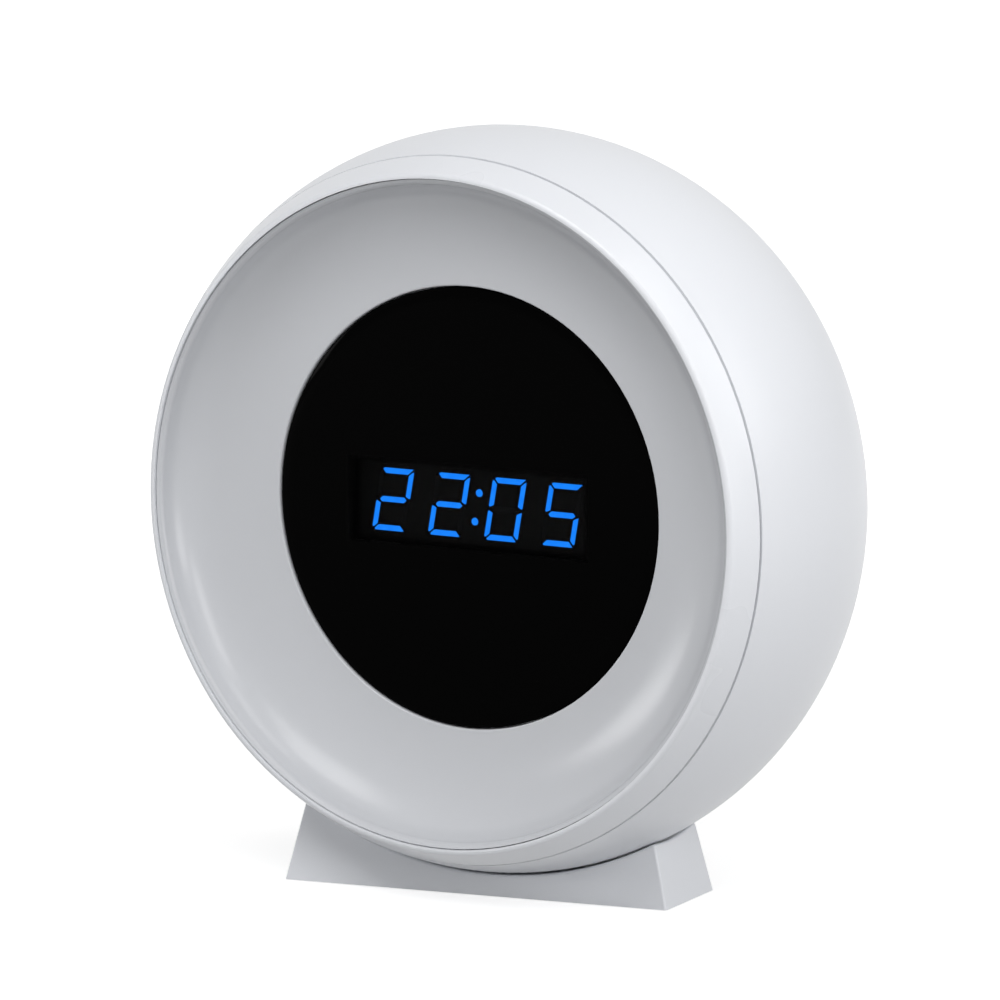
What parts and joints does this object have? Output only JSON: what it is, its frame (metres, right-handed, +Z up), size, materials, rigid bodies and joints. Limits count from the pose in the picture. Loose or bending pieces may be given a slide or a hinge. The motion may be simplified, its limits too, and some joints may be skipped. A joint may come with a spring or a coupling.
{
  "type": "night light clock",
  "caption": "Round barrel-shaped night light with a digital clock in the middle of its white light dish, held by magnets on a small wedge foot.",
  "frame": {"origin": "on the table, right under the centre that the lamp swivels and tilts about", "axes": "+Z up, the lamp's lit front faces -Y, +X to the right as seen from the front; the foot is turned 8.1 degrees about +Z under the lamp, as pictured"},
  "size_m": [0.101, 0.042, 0.104],
  "materials": {
    "foot_white": "satin",
    "shell_white": "satin",
    "ring_white": "gloss",
    "bowl_opal": "gloss",
    "lens_smoked": "gloss",
    "digit_blue": "gloss",
    "digit_dark": "gloss",
    "housing_black": "matte",
    "led_blue": "gloss",
    "board_green": "satin",
    "led_white": "gloss",
    "chip_black": "matte",
    "crystal_can": "satin",
    "chassis_grey": "matte",
    "battery_wrap": "satin",
    "lead_red": "satin",
    "socket_cream": "satin",
    "ribbon_grey": "satin",
    "header_black": "matte",
    "button_white": "satin",
    "plunger_black": "matte",
    "switch_steel": "satin",
    "usb_steel": "satin",
    "tongue_black": "satin",
    "buzzer_black": "matte",
    "magnet_nickel": "polished",
    "ballast_steel": "satin",
    "pad_grey": "matte",
    "screw_steel": "satin"
  },
  "bodies": {
    "foot": {"foot_block": "foot_white", "ballast_bars": "ballast_steel", "foot_pad": "pad_grey"},
    "swivel_magnet": {"foot_magnet": "magnet_nickel"},
    "set_button": {"set_button": "button_white", "set_plunger": "plunger_black"},
    "up_button": {"up_button": "button_white", "up_plunger": "plunger_black"},
    "down_button": {"down_button": "button_white", "down_plunger": "plunger_black"},
    "light_slider": {"light_slider": "button_white"},
    "lamp": {"rear_shell": "shell_white", "front_ring": "ring_white", "light_bowl": "bowl_opal", "display_lens": "lens_smoked", "lit_segments": "digit_blue", "unlit_segments": "digit_dark", "segment_housing": "housing_black", "display_leds": "led_blue", "front_board": "board_green", "lamp_leds": "led_white", "clock_chip": "chip_black", "clock_crystal": "crystal_can", "chassis_plate": "chassis_grey", "battery_pack": "battery_wrap", "battery_leads": "lead_red", "battery_socket": "socket_cream", "control_board": "board_green", "ribbon_cable": "ribbon_grey", "ribbon_headers": "header_black", "usb_socket": "usb_steel", "usb_tongue": "tongue_black", "switch_bodies": "switch_steel", "slider_body": "switch_steel", "buzzer": "buzzer_black", "lamp_magnet": "magnet_nickel", "case_screws": "screw_steel", "chassis_screws": "screw_steel", "board_screws": "screw_steel"}
  },
  "joints": [
    {"name": "lamp_swivel", "type": "hinge", "parent": "foot", "child": "swivel_magnet", "pos_m": [0, 0, 0.0014], "axis": [0, 0, 1], "continuous": true},
    {"name": "lamp_tilt", "type": "hinge", "parent": "swivel_magnet", "child": "lamp", "pos_m": [0, 0, 0.0535], "axis": [1, 0, 0], "range_deg": [-10, 10]},
    {"name": "set_press", "type": "slide", "parent": "lamp", "child": "set_button", "axis": [0, -1, 0], "range_m": [0, 0.0008], "stiffness_N_per_m": 1500},
    {"name": "up_press", "type": "slide", "parent": "lamp", "child": "up_button", "axis": [0, -1, 0], "range_m": [0, 0.0008], "stiffness_N_per_m": 1500},
    {"name": "down_press", "type": "slide", "parent": "lamp", "child": "down_button", "axis": [0, -1, 0], "range_m": [0, 0.0008], "stiffness_N_per_m": 1500},
    {"name": "light_slide", "type": "slide", "parent": "lamp", "child": "light_slider", "axis": [1, 0, 0], "range_m": [-0.002, 0.002]}
  ]
}
